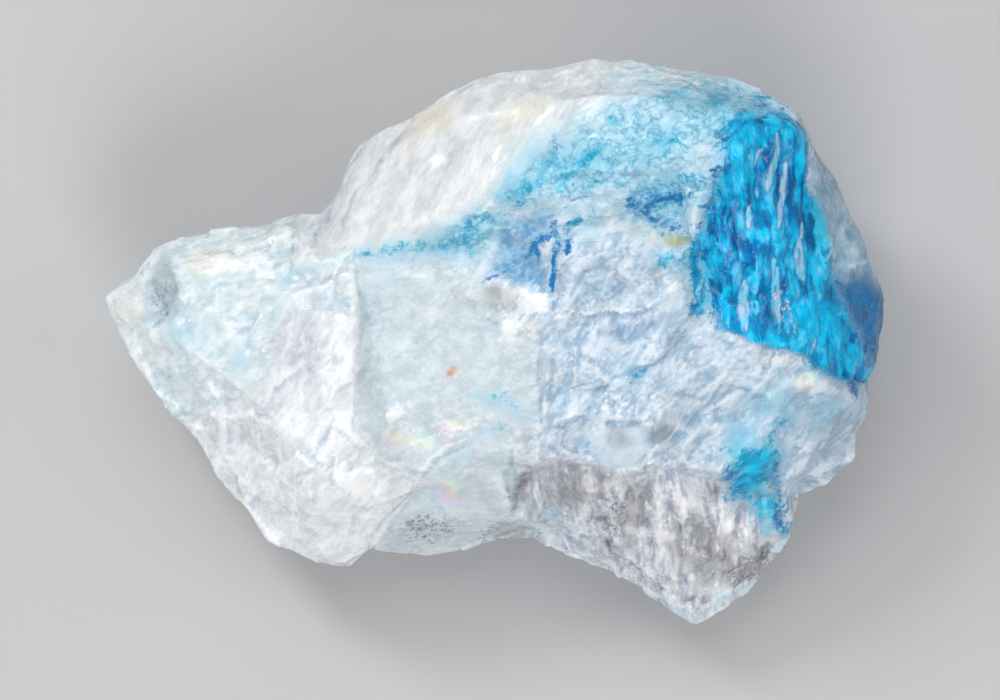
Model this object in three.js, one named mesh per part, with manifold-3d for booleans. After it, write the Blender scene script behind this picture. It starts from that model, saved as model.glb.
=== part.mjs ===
// A rough euclase crystal: a milky white to blue hand specimen that broke off as one piece. It is one
// closed solid, resting on a flat cleavage, with its origin under its middle. Millimetres, +Z up.
//
// It is made in the order in which such a piece gets its form:
// 1. BLOCKS are its crystal masses, grown into each other. Each is the convex solid its corners span.
// 2. The skin is divided evenly and broken up by noise, in swells and in steps with flat treads.
// 3. Marks of note are cut into it: FACETS are flat breaks, such as ledges and glassy windows, and GROOVES
//    are long ones: flutes, striations and one open fissure. Their places are given as seen from above.
import * as THREE from "three";
import { ConvexGeometry } from "three/addons/geometries/ConvexGeometry.js";
import { ImprovedNoise } from "three/addons/math/ImprovedNoise.js";
import { TessellateModifier } from "three/addons/modifiers/TessellateModifier.js";
import { mergeVertices } from "three/addons/utils/BufferGeometryUtils.js";
import Module from "manifold-3d";

const wasm = await Module();
wasm.setup();

const BELOW = -2; // keels run past the resting plane at z 0, which cuts them off flat

// crown: the upper corners. girdle: those of the widest outline. keel: the lower corners. All [x, y, z].
const BLOCKS = {
  heart: {
    crown: [
      [-8.6, 4.7, 14.3], [-2.0, 6.4, 15.6], [3.5, 7.4, 17.2], [11.0, 7.0, 18.4], [4.0, 3.0, 16.2],
      [2.4, 0.0, 14.8], [3.0, -6.0, 12.4], [15.0, 0.0, 13.8], [19.0, -3.0, 11.0], [12.0, -6.0, 12.0],
      [-8.5, -4.0, 12.4], [-4.0, -8.0, 10.2], [2.0, -9.4, 8.8], [16.0, -9.0, 8.6],
    ],
    girdle: [
      [-14.0, 5.0, 7.0], [-17.0, -2.0, 6.0], [-10.0, -10.0, 5.0], [2.0, -10.6, 4.6], [12.0, -13.5, 4.0],
      [19.0, -7.0, 5.0], [20.5, 2.0, 6.0], [14.0, 13.0, 8.0], [0.0, 13.0, 8.0],
    ],
    keel: [
      [-12.0, 3.0, BELOW], [-13.0, -4.0, BELOW], [-7.0, -9.0, BELOW], [2.0, -9.4, BELOW],
      [12.0, -12.5, BELOW], [17.0, -7.0, BELOW], [18.0, 2.0, BELOW], [13.0, 9.0, BELOW],
      [0.0, 8.5, BELOW], [-7.0, 6.0, BELOW],
    ],
  },
  white_dome: {
    crown: [
      [-6.6, 11.0, 14.6], [-2.2, 13.4, 17.0], [3.5, 14.4, 19.0], [9.0, 14.4, 20.4],
      [-5.6, 8.4, 16.4], [0.0, 9.8, 18.4], [6.0, 11.0, 20.4], [11.0, 11.6, 21.6],
      [-10.5, 5.2, 12.5], [-7.6, 5.0, 14.6], [-2.5, 6.0, 16.1], [1.5, 7.0, 17.3], [6.0, 7.8, 18.4],
      [11.0, 8.6, 19.0],
    ],
    girdle: [
      [-10.6, 7.9, 9.4], [-9.0, 10.4, 8.2], [-7.1, 12.9, 11.2], [-4.5, 14.5, 9.2],
      [-1.2, 16.0, 12.2], [3.5, 16.4, 9.6], [8.0, 16.9, 13.2], [12.5, 15.9, 10.6],
    ],
    keel: [
      [-8.5, 7.0, 3.5], [-5.0, 11.0, 2.2], [-1.0, 14.2, 5.4], [3.0, 12.0, 0.4], [7.0, 14.6, 4.6],
      [10.0, 12.0, 1.4], [10.0, 7.0, BELOW], [0.0, 6.0, BELOW], [-7.0, 5.0, BELOW],
    ],
  },
  blue_shoulder: {
    crown: [
      [9.0, 14.4, 20.4], [13.8, 13.8, 21.4], [17.4, 12.9, 19.4], [11.0, 11.6, 21.8], [14.0, 11.0, 21.6],
      [18.2, 10.0, 18.2], [19.0, 6.5, 15.8], [20.4, 3.0, 13.0], [21.9, -0.5, 10.0],
      [11.5, 6.0, 18.6], [12.5, 0.5, 15.0], [17.0, -1.0, 13.4], [20.5, -2.5, 10.8],
    ],
    girdle: [
      [8.0, 16.9, 13.2], [12.0, 16.1, 10.4], [15.9, 15.2, 12.6], [17.8, 13.9, 10.8], [18.6, 12.5, 13.0],
      [20.1, 9.6, 9.4], [21.9, 6.8, 10.4], [23.4, 2.9, 7.5], [22.9, 0.0, 8.2], [22.7, -2.2, 6.2],
    ],
    keel: [
      [9.0, 13.4, 3.2], [13.4, 13.0, 4.6], [17.0, 10.0, 2.0], [19.8, 5.0, 3.2],
      [19.5, 0.0, 1.0], [12.0, 2.0, BELOW], [9.0, 9.0, BELOW], [15.5, 8.0, BELOW], [17.0, 1.0, BELOW],
    ],
  },
  frosted_block: {
    crown: [
      [2.6, 8.6, 17.2], [6.5, 9.0, 18.3], [10.5, 8.6, 18.8], [12.0, 2.6, 16.6], [15.5, 0.2, 15.0],
      [18.2, -1.6, 13.6], [21.6, -3.2, 10.4], [-0.5, 4.0, 15.7], [-0.5, -2.0, 14.3], [-0.5, -6.0, 12.6],
      [3.2, -7.2, 12.6], [8.5, -7.2, 12.8], [13.5, -7.6, 11.8], [18.0, -7.4, 10.2],
    ],
    girdle: [
      [22.7, -1.6, 7.0], [22.4, -3.4, 7.6], [21.9, -5.5, 6.0], [21.6, -6.9, 6.4], [19.9, -8.3, 5.0],
    ],
    keel: [
      [4.0, 5.0, BELOW], [3.0, -9.0, BELOW], [17.0, -9.0, BELOW], [17.5, -1.0, BELOW],
      [10.0, 5.0, BELOW],
    ],
  },
  striated_foot: {
    crown: [
      [3.4, -1.0, 14.4], [2.5, -6.4, 12.2], [8.0, -5.6, 12.9], [13.5, -5.6, 12.2], [17.6, -5.6, 10.8],
      [5.0, -10.2, 9.4], [10.0, -12.6, 8.2], [13.5, -13.2, 7.2], [16.2, -11.2, 7.8], [17.4, -9.4, 8.4],
    ],
    girdle: [
      [1.9, -11.1, 4.6], [4.0, -12.0, 4.4], [7.0, -13.5, 4.8], [9.8, -15.1, 3.8], [12.2, -16.7, 3.6],
      [15.4, -14.8, 3.8], [17.1, -12.9, 4.6], [17.9, -12.0, 5.0], [18.5, -9.2, 5.8],
    ],
    keel: [
      [3.0, -9.5, BELOW], [9.0, -13.0, BELOW], [13.0, -14.0, BELOW], [16.0, -11.0, BELOW],
      [17.0, -7.0, BELOW], [3.0, -5.0, BELOW],
    ],
  },
  smooth_plate: {
    crown: [
      [-9.6, 5.0, 13.9], [-5.4, 8.0, 15.2], [-2.4, 8.0, 16.1], [0.5, 4.6, 16.1], [2.9, 1.0, 15.6],
      [3.1, -2.0, 14.9], [3.1, -5.0, 13.7], [2.4, -8.2, 11.2], [-9.4, -4.8, 12.0], [-5.5, -7.5, 11.6],
      [-1.6, -5.4, 12.8], [1.2, -9.4, 9.6],
    ],
    girdle: [
      [-7.9, -12.4, 5.5], [-7.2, -12.9, 5.2], [-4.2, -12.9, 4.4], [-2.0, -12.2, 5.6], [0.0, -12.0, 4.6],
      [1.6, -11.3, 5.2],
    ],
    keel: [
      [-8.0, 4.0, BELOW], [2.0, 4.0, BELOW], [1.0, -9.5, BELOW], [-6.0, -10.0, BELOW],
    ],
  },
  white_knob: {
    crown: [
      [-8.4, 4.5, 14.9], [-8.4, -1.0, 14.8], [-8.5, -4.6, 14.1], [-12.0, 3.0, 13.9], [-13.5, -4.0, 12.8],
      [-10.5, -6.5, 13.2], [-7.6, -6.3, 12.9], [-5.0, -8.5, 11.2], [-6.2, -10.4, 9.0], [-10.0, -10.2, 10.4],
      [-15.2, -0.5, 11.9], [-16.8, -4.2, 9.6],
    ],
    girdle: [
      [-19.5, -4.0, 6.8], [-18.4, -5.0, 6.5], [-17.2, -6.8, 5.4], [-15.7, -8.8, 6.4], [-14.7, -10.2, 4.6],
      [-13.7, -11.8, 5.6], [-12.5, -12.0, 4.4], [-10.9, -13.3, 5.2], [-9.4, -13.6, 4.2], [-8.7, -13.6, 4.8],
      [-8.0, -12.8, 5.6],
    ],
    keel: [
      [-9.0, 4.0, BELOW], [-6.5, -10.8, BELOW], [-13.0, -8.0, BELOW], [-14.5, -3.0, BELOW],
      [-13.0, 3.0, BELOW],
    ],
  },
  left_lobe: {
    crown: [
      [-11.0, 5.4, 13.2], [-14.6, 5.2, 12.2], [-18.2, 4.8, 10.8], [-21.2, 3.2, 9.0], [-8.4, 4.8, 14.4],
      [-12.0, 0.5, 13.7], [-16.0, -0.5, 12.0], [-18.5, 0.0, 10.8], [-14.0, -3.5, 12.8],
    ],
    girdle: [
      [-10.6, 8.0, 8.8], [-12.2, 7.7, 7.6], [-14.0, 7.3, 8.6], [-17.9, 6.6, 6.8], [-20.2, 5.5, 7.8],
      [-22.7, 3.9, 6.4], [-23.5, 2.9, 6.8], [-23.4, 2.2, 6.2], [-22.2, 0.2, 6.8], [-20.8, -2.0, 5.8],
      [-19.8, -3.8, 6.6], [-18.6, -4.9, 6.0], [-17.6, -6.0, 6.0],
    ],
    keel: [
      [-9.0, 5.0, BELOW], [-13.0, 4.0, BELOW], [-16.0, 3.0, 1.0], [-20.0, 2.5, 4.0], [-18.0, -1.0, 3.0],
      [-14.0, -3.0, BELOW],
    ],
  },
};

const MAX_EDGE = 2.6; // the longest edge left after the skin is divided
const MOST_DIVISIONS = 12;
// size: of the noise. height: how far it moves the skin at most. shift: where in the noise it starts.
const SWELL = { size: 4.2, height: 0.45, shift: 3.7 };
const STEP = { size: 3.0, height: 0.7, shift: 11.3, levels: 3 }; // levels: flat treads up to the height
const STILL = { from: 0.2, to: 1.6 }; // noise fades in between these heights above the resting face

// Flat breaks. at: [x, y]. lean: how far the floor's normal turns out of the skin's, in x and y. turn: the
// direction of its length, in degrees from +X. size: its length, its width and the depth of its middle.
const FACETS = {
  glassy_window: { at: [6.9, -6.0], lean: [-0.05, -0.15], turn: 8, size: [5.4, 3.2, 0.25] },
  dark_side_of_window: { at: [9.9, -6.4], lean: [0.35, -0.1], turn: 62, size: [3.8, 1.8, 0.25] },
  window_below_dome: { at: [1.6, 5.4], lean: [0.1, -0.15], turn: 95, size: [4.4, 3.2, 0.15] },
  bright_spot: { at: [1.8, 2.0], lean: [-0.25, 0.1], turn: 20, size: [2.8, 2.0, 0.2] },
  peach_facet: { at: [-16.2, 5.0], lean: [0.0, 0.2], turn: 10, size: [4.2, 1.8, 0.15] },
  grey_window: { at: [-20.0, 3.0], lean: [-0.15, 0.0], turn: 65, size: [4.4, 2.4, 0.2] },
  knob_corner: { at: [-7.2, -7.6], lean: [0.1, 0.0], turn: -35, size: [5.2, 3.0, 0.05] },
  knob_left: { at: [-11.8, -9.2], lean: [-0.1, -0.1], turn: 60, size: [5.2, 3.0, 0.1] },
  knob_shard: { at: [-11.0, -2.2], lean: [-0.18, 0.05], turn: 100, size: [5.4, 2.6, 0.15] },
  knob_back: { at: [-13.4, 1.4], lean: [-0.05, 0.15], turn: 30, size: [4.6, 2.6, 0.1] },
  plate_foot: { at: [-2.6, -9.0], lean: [0.0, -0.2], turn: 15, size: [5.6, 3.0, 0.2] },
  foot_bright: { at: [13.9, -12.2], lean: [0.15, -0.15], turn: 55, size: [3.6, 2.4, 0.2] },
  foot_face: { at: [4.6, -9.4], lean: [-0.1, -0.05], turn: -35, size: [4.6, 2.8, 0.2] },
  frosted_upper_ledge: { at: [13.4, 1.4], lean: [0.1, 0.3], turn: -50, size: [5.6, 2.6, 0.35] },
  frosted_lower_ledge: { at: [17.2, -1.6], lean: [0.15, 0.3], turn: -35, size: [4.8, 2.2, 0.3] },
  frosted_left_step: { at: [8.6, 1.4], lean: [-0.25, -0.1], turn: -60, size: [5.0, 2.4, 0.25] },
  frosted_right_step: { at: [13.2, -3.6], lean: [0.2, -0.2], turn: -15, size: [5.4, 2.6, 0.25] },
  blue_notch: { at: [16.6, -7.4], lean: [0.15, -0.25], turn: 10, size: [4.8, 2.6, 0.4] },
  shoulder_side: { at: [20.2, 5.2], lean: [0.25, 0.0], turn: -70, size: [5.6, 2.4, 0.2] },
  dome_top: { at: [4.6, 11.6], lean: [0.0, -0.1], turn: 15, size: [6.4, 3.0, 0.1] },
};

// Long breaks. runs: the places [x, y] of their two ends. width and depth: in the middle.
const GROOVES = {
  dome_grooves: {
    width: 1.8,
    depth: 0.15,
    runs: [[[-6.6, 12.0], [-9.9, 6.2]], [[-4.6, 12.4], [-8.4, 6.0]], [[-2.6, 12.2], [-6.2, 6.8]]],
  },
  flutes: {
    width: 1.5,
    depth: 0.34,
    runs: [
      [[12.6, 9.4], [13.2, 3.4]], [[13.8, 11.2], [14.4, 5.4]], [[15.1, 12.2], [15.8, 6.4]],
      [[16.4, 12.6], [16.9, 6.8]], [[17.6, 11.8], [18.2, 5.4]], [[14.4, 6.4], [15.2, 0.8]],
      [[15.8, 7.0], [16.8, 1.0]], [[17.1, 7.4], [18.4, 0.2]], [[18.5, 6.4], [20.0, -0.6]],
    ],
  },
  striations: {
    width: 1.5,
    depth: 0.22,
    runs: [
      [[6.6, -8.6], [6.0, -11.6]], [[7.9, -7.6], [7.3, -12.2]], [[9.1, -7.8], [8.8, -13.4]],
      [[10.4, -7.6], [10.2, -13.9]], [[11.7, -8.0], [11.7, -13.2]], [[13.0, -8.6], [13.2, -11.8]],
    ],
  },
  pits: {
    width: 0.9,
    depth: 0.45,
    runs: [[[6.2, -11.5], [7.4, -12.5]], [[16.0, -11.7], [16.6, -13.0]], [[17.2, -9.6], [16.7, -11.4]]],
  },
  plate_edge: { width: 1.6, depth: 0.2, runs: [[[-5.6, -8.4], [-1.0, -4.6]]] },
  fissure: { width: 0.35, depth: 1.3, runs: [[[0.8, -10.4], [2.4, -6.8]]] },
};

const LIFT = 1.6; // how far a cutter stands out of the skin
const FACET_SIDES = 7;
const FACET_REACH = [0.42, 0.55]; // from the middle to a corner, as a share of the size
const FACET_FLARE = 2.4; // how much wider a facet's cutter is where it stands out
const GROOVE_WIDE_AT = [0.25, 0.7]; // the stretch of a groove with its full width, as shares of its length
const GROOVE_LEAN = 0.25; // how far its bottom strays to one side, as a share of its width
const GROOVE_FLARE = 3.2;
const GROOVE_TIP = 0.04; // how far above the skin a groove runs out
const FACING_REACH = 0.8; // how far around a place the skin's direction is averaged
const ROOM = { width: 80, height: 40 }; // a box above the resting plane that holds the whole specimen
const SAME_POINT = 1e-3; // corners nearer to each other than this are one

// Seeded (mulberry32), so that the specimen is the same each time.
function randomFrom(seed) {
  let state = seed;
  return () => {
    state = (state + 0x6d2b79f5) | 0;
    let mixed = Math.imul(state ^ (state >>> 15), 1 | state);
    mixed = (mixed + Math.imul(mixed ^ (mixed >>> 7), 61 | mixed)) ^ mixed;
    return ((mixed ^ (mixed >>> 14)) >>> 0) / 2 ** 32;
  };
}
const random = randomFrom(11);
const between = (low, high) => low + (high - low) * random();

// Merges the shared corners, so that position is all that a geometry holds.
function welded(geometry) {
  const bare = new THREE.BufferGeometry().setAttribute("position", geometry.getAttribute("position"));
  return mergeVertices(bare.setIndex(geometry.index), SAME_POINT);
}

function toSolid(geometry) {
  const { index, attributes } = welded(geometry);
  const mesh = new wasm.Mesh({
    numProp: 3,
    vertProperties: attributes.position.array,
    triVerts: new Uint32Array(index.array),
  });
  return new wasm.Manifold(mesh);
}

function toGeometry(solid) {
  const { vertProperties, triVerts } = solid.getMesh();
  return new THREE.BufferGeometry()
    .setAttribute("position", new THREE.BufferAttribute(vertProperties, 3))
    .setIndex(new THREE.BufferAttribute(triVerts, 1));
}

const convex = (corners) => toSolid(new ConvexGeometry(corners));

const block = ({ crown, girdle, keel }) =>
  convex([...crown, ...girdle, ...keel].map((corner) => new THREE.Vector3(...corner)));

const noise = new ImprovedNoise();
const noiseAt = (p, { size, shift }) =>
  noise.noise(p.x / size + shift, p.y / size - shift, p.z / size + 2 * shift);

// How far the broken skin stands out at a point.
function roughness(p) {
  const swell = noiseAt(p, SWELL) * SWELL.height;
  const step = (Math.round(noiseAt(p, STEP) * STEP.levels) / STEP.levels) * STEP.height;
  return (swell + step) * THREE.MathUtils.smoothstep(p.z, STILL.from, STILL.to);
}

// Divides the skin evenly and moves each corner along its mean normal.
function roughened(geometry) {
  const divided = new TessellateModifier(MAX_EDGE, MOST_DIVISIONS).modify(geometry.toNonIndexed());
  const rough = welded(divided);
  rough.computeVertexNormals();
  const { position, normal } = rough.attributes;
  const p = new THREE.Vector3();
  const n = new THREE.Vector3();
  for (let i = 0; i < position.count; i++) {
    p.fromBufferAttribute(position, i);
    n.fromBufferAttribute(normal, i);
    p.addScaledVector(n, roughness(p));
    position.setXYZ(i, p.x, p.y, p.z);
  }
  return rough;
}

// Finds the skin below a place seen from above, and which way it faces around there.
function dropOnto(skin, [x, y]) {
  const point = new THREE.Vector3();
  const normal = new THREE.Vector3();
  const down = new THREE.Vector3(0, 0, -1);
  const r = FACING_REACH;
  for (const [dx, dy] of [[r, 0], [0, r], [-r, 0], [0, -r], [0, 0]]) {
    const ray = new THREE.Raycaster(new THREE.Vector3(x + dx, y + dy, ROOM.height), down);
    const [hit] = ray.intersectObject(skin);
    if (!hit) continue;
    point.copy(hit.point);
    normal.add(hit.face.normal);
  }
  return { point, normal: normal.normalize() };
}

// A cutter whose corners are given as [along, across, up] in a frame on the skin.
const cutter = (origin, along, across, up, corners) =>
  convex(corners.map(([a, b, c]) =>
    origin.clone().addScaledVector(along, a).addScaledVector(across, b).addScaledVector(up, c)));

function facetCutter(skin, { at, lean, turn, size: [length, width, depth] }) {
  const { point, normal } = dropOnto(skin, at);
  const up = normal.add(new THREE.Vector3(...lean, 0)).normalize();
  const angle = THREE.MathUtils.degToRad(turn);
  const along = new THREE.Vector3(Math.cos(angle), Math.sin(angle), 0);
  along.addScaledVector(up, -along.dot(up)).normalize();
  const across = new THREE.Vector3().crossVectors(up, along);
  const corners = [];
  for (let side = 0; side < FACET_SIDES; side++) {
    const around = ((side + between(-0.3, 0.3)) * 2 * Math.PI) / FACET_SIDES;
    const reach = between(...FACET_REACH);
    const a = Math.cos(around) * reach * length;
    const b = Math.sin(around) * reach * width;
    corners.push([a, b, -depth], [a * FACET_FLARE, b * FACET_FLARE, LIFT]);
  }
  return cutter(point, along, across, up, corners);
}

function grooveCutter(skin, [from, to], width, depth) {
  const start = dropOnto(skin, from);
  const end = dropOnto(skin, to);
  const along = end.point.clone().sub(start.point);
  const length = along.length();
  along.normalize();
  const across = new THREE.Vector3().crossVectors(start.normal.add(end.normal), along).normalize();
  const up = new THREE.Vector3().crossVectors(along, across);
  const corners = [[0, 0, GROOVE_TIP], [0, 0, LIFT], [length, 0, GROOVE_TIP], [length, 0, LIFT]];
  const bottom = width * between(-GROOVE_LEAN, GROOVE_LEAN);
  for (const share of GROOVE_WIDE_AT) {
    corners.push([share * length, bottom, -depth]);
    for (const half of [-width / 2, width / 2])
      corners.push([share * length, half, 0], [share * length, half * GROOVE_FLARE, LIFT]);
  }
  return cutter(start.point, along, across, up, corners);
}

// Keeps the largest shell: where two breaks all but touch, a closed speck can be left inside.
function outerShell(geometry) {
  const index = Array.from(geometry.index.array);
  const parent = Array.from({ length: geometry.getAttribute("position").count }, (_, i) => i);
  const rootOf = (i) => {
    while (parent[i] !== i) i = parent[i];
    return i;
  };
  const join = (a, b) => (parent[rootOf(a)] = rootOf(b));
  for (let i = 0; i < index.length; i += 3) {
    join(index[i + 1], index[i]);
    join(index[i + 2], index[i]);
  }
  const roots = index.map(rootOf);
  const counts = new Map();
  for (const root of roots) counts.set(root, (counts.get(root) ?? 0) + 1);
  const [largest] = [...counts].reduce((a, b) => (b[1] > a[1] ? b : a));
  return geometry.setIndex(index.filter((_, i) => roots[i] === largest));
}

// Puts the middle of the outline over the origin and the resting face at z 0.
function centred(geometry) {
  const box = new THREE.Box3().setFromBufferAttribute(geometry.getAttribute("position"));
  const middle = box.getCenter(new THREE.Vector3());
  return geometry.translate(-middle.x, -middle.y, -box.min.z);
}

function crystalGeometry() {
  const grown = Object.values(BLOCKS).map(block).reduce((a, b) => a.add(b));
  const room = new THREE.BoxGeometry(ROOM.width, ROOM.width, ROOM.height).translate(0, 0, ROOM.height / 2);
  const resting = grown.intersect(toSolid(room));
  const rough = toSolid(roughened(toGeometry(resting)));
  const skin = new THREE.Mesh(toGeometry(rough));
  const cutters = Object.values(FACETS).map((facet) => facetCutter(skin, facet));
  for (const { width, depth, runs } of Object.values(GROOVES))
    cutters.push(...runs.map((run) => grooveCutter(skin, run, width, depth)));
  const broken = cutters.reduce((solid, tool) => solid.subtract(tool), rough);
  return centred(outerShell(toGeometry(broken)));
}

const milkyBlue = new THREE.MeshStandardMaterial({ color: 0xd8e6ec, roughness: 0.25, metalness: 0 });
const crystal = new THREE.Mesh(crystalGeometry(), milkyBlue);
crystal.name = "euclase_crystal";

const specimen = new THREE.Group();
specimen.add(crystal);
export default specimen;
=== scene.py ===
# %% [markdown]
# # A rough crystal of euclase
# Euclase is a hard, glassy mineral. It grows as prisms, but it splits easily, so most pieces are
# broken lumps: flat breaks, thin steps and splinters, milky where the stone is full of tiny cracks
# and clear where it is sound. The blue is in the stone itself and comes in bands and veins.
#
# The solid that was measured comes in first. It fixes the size, and everything below
# is made in its own place on it, in metres with Z up.

# %% Load the measured solid
import math

import bmesh
import bpy
import numpy as np
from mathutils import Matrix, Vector, noise


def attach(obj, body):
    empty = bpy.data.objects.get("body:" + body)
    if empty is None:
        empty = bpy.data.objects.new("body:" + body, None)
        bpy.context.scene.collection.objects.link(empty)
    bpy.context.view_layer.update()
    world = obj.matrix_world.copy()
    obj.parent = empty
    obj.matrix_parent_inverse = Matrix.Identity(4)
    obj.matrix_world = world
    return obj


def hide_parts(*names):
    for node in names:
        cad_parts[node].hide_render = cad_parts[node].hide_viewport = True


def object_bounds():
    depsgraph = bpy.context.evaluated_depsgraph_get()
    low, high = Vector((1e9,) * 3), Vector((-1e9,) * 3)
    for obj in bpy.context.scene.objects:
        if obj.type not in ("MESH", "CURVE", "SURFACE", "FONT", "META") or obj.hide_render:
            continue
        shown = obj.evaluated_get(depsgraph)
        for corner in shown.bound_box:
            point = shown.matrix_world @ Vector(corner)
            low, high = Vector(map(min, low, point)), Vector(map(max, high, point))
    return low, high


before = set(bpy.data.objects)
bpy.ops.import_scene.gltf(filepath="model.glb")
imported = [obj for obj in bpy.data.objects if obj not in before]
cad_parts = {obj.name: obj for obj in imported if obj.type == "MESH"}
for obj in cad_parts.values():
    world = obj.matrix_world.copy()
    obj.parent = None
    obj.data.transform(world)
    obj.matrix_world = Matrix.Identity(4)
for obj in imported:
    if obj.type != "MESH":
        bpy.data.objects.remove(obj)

STONE = "euclase_crystal"
MM = 0.001  # a millimetre in metres
cad_low, cad_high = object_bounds()
print("solid", [round(v / MM, 2) for v in cad_high - cad_low], "mm")

# %% [markdown]
# ## A skin fine enough to carve
# The solid is made of a few thousand flat triangles of very different sizes. Small chips can't be
# carved into a triangle that is bigger than they are. Cutting each triangle up would keep its long
# thin shape, so the stone is wrapped again in small even squares, which is what a sculptor's
# remesh does. The solid itself is left alone: a copy of it has its doubled points merged first.

# %% Wrap the stone in small even faces
SKIN_STEP = 0.22  # mm between points of the new skin


def merged_copy(source, name):
    """A new object with the mesh of a solid, its doubled points merged."""
    mesh = bpy.data.meshes.new(name)
    body = bmesh.new()
    body.from_mesh(source.data)
    bmesh.ops.remove_doubles(body, verts=body.verts, dist=0.001 * MM)
    bmesh.ops.recalc_face_normals(body, faces=body.faces)
    body.to_mesh(mesh)
    body.free()
    made = bpy.data.objects.new(name, mesh)
    bpy.context.scene.collection.objects.link(made)
    return made


def rewrapped(thing, step):
    """Replaces an object's mesh by one of even faces, step mm across."""
    wrap = thing.modifiers.new("even_skin", "REMESH")
    wrap.mode = "VOXEL"
    wrap.voxel_size = step * MM
    scene_now = bpy.context.evaluated_depsgraph_get()
    even = bpy.data.meshes.new_from_object(thing.evaluated_get(scene_now))
    thing.modifiers.remove(wrap)
    thing.data = even
    even.name = thing.name
    return thing


crystal = rewrapped(merged_copy(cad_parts[STONE], "crystal"), SKIN_STEP)
print("skin", len(crystal.data.vertices), "points", len(crystal.data.polygons), "faces")

# %% [markdown]
# ## Tools for carving and for marking
# Every mark on the stone is given where it lies seen from above, in millimetres from the middle.
# A few small helpers are enough: how far inside an outline a point is, how close it is to a path
# or a spot, and a soft step. Straight ends and even edges look drawn, so the points are first
# pushed about by noise, and the marks come out ragged, as they do in a real stone.

# %% Read and write the points, and measure marks on them
SEED = 11
noise.seed_set(SEED)  # noise_vector starts from a place of its own in each run unless it is told


def rows_of(items, key):
    """What each of a mesh's items holds under a key, one row of three numbers each."""
    flat = np.empty(len(items) * 3, np.float32)
    items.foreach_get(key, flat)
    return flat.reshape(-1, 3).astype(float)


def put_points(mesh, points):
    """Writes points in mm back into the mesh."""
    mesh.vertices.foreach_set("co", (points * MM).astype(np.float32).ravel())
    mesh.update()


def soft_step(values, low, high):
    """0 below low, 1 above high and a smooth rise between."""
    t = np.clip((values - low) / (high - low), 0, 1)
    return t * t * (3 - 2 * t)


def swell(points, size, shift, octaves=1):
    """Smooth random values from about -1 to 1, with humps size mm across."""
    spots = (points + shift) / size
    return np.array([noise.fractal(Vector(p), 1.0, 2.0, octaves) for p in spots.tolist()])


def pushed(points, size, reach, shift):
    """The points moved about by up to reach mm, by noise with swirls size mm across."""
    spots = (points + shift) / size
    moves = np.array([noise.noise_vector(Vector(p)) for p in spots.tolist()])
    return points + moves * reach


def along_grain(points, turn, stretch):
    """Points turned so that X runs turn degrees from east, then shortened along X stretch times."""
    angle = math.radians(turn)
    along = points[:, 0] * math.cos(angle) + points[:, 1] * math.sin(angle)
    across = points[:, 1] * math.cos(angle) - points[:, 0] * math.sin(angle)
    return np.column_stack((along / stretch, across, points[:, 2]))


def path_mark(points, path, width, blunt=False):
    """1 on a path seen from above, 0 from half its width; it thins at both ends unless blunt."""
    corners = np.array(path, float)
    steps = np.linalg.norm(np.diff(corners, axis=0), axis=1)
    mark = np.zeros(len(points))
    gone = 0.0
    for start, end, step in zip(corners[:-1], corners[1:], steps):
        share = np.clip((points[:, :2] - start) @ (end - start) / step**2, 0, 1)
        gap = np.linalg.norm(points[:, :2] - start - share[:, None] * (end - start), axis=1)
        way = (gone + share * step) / steps.sum()
        half = width / 2 * (1 if blunt else np.sqrt(np.sin(np.pi * np.clip(way, 0.02, 0.98))))
        mark = np.maximum(mark, np.clip(1 - gap / half, 0, 1))
        gone += step
    return mark


def depth_inside(points, outline):
    """How many mm inside an outline seen from above each point is; outside it is negative."""
    corners = np.array(outline, float)
    inside = np.zeros(len(points), bool)
    nearest = np.full(len(points), np.inf)
    x, y = points[:, 0], points[:, 1]
    for a, b in zip(corners, np.roll(corners, -1, axis=0)):
        crosses = (a[1] > y) != (b[1] > y)
        rise = b[1] - a[1] if b[1] != a[1] else 1e-9
        inside ^= crosses & (x < (b[0] - a[0]) * (y - a[1]) / rise + a[0])
        share = np.clip((points[:, :2] - a) @ (b - a) / max((b - a) @ (b - a), 1e-9), 0, 1)
        gap = np.linalg.norm(points[:, :2] - a - share[:, None] * (b - a), axis=1)
        nearest = np.minimum(nearest, gap)
    return np.where(inside, nearest, -nearest)


def spot_mark(points, centre, radii, turn=0):
    """1 in the middle of an oval spot seen from above, falling to 0 at its rim."""
    moved = along_grain(points - np.array([*centre, 0.0]), turn, 1)
    far = np.hypot(moved[:, 0] / radii[0], moved[:, 1] / radii[1])
    return np.clip(1 - far, 0, 1)

print("seed", SEED)

# %% [markdown]
# ## Where each kind of surface lies
# The lump isn't the same all over. A smooth white dome fills one corner. Below it a pale plate
# lies against a white knob, and a lobe reaches out to the side. The other half is blue: a rough
# shoulder, a steep face with upright flutes, a frosted block, and a clear foot with fine upright
# lines. One outline each is enough, because the colour and the grain blend between them.

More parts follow.
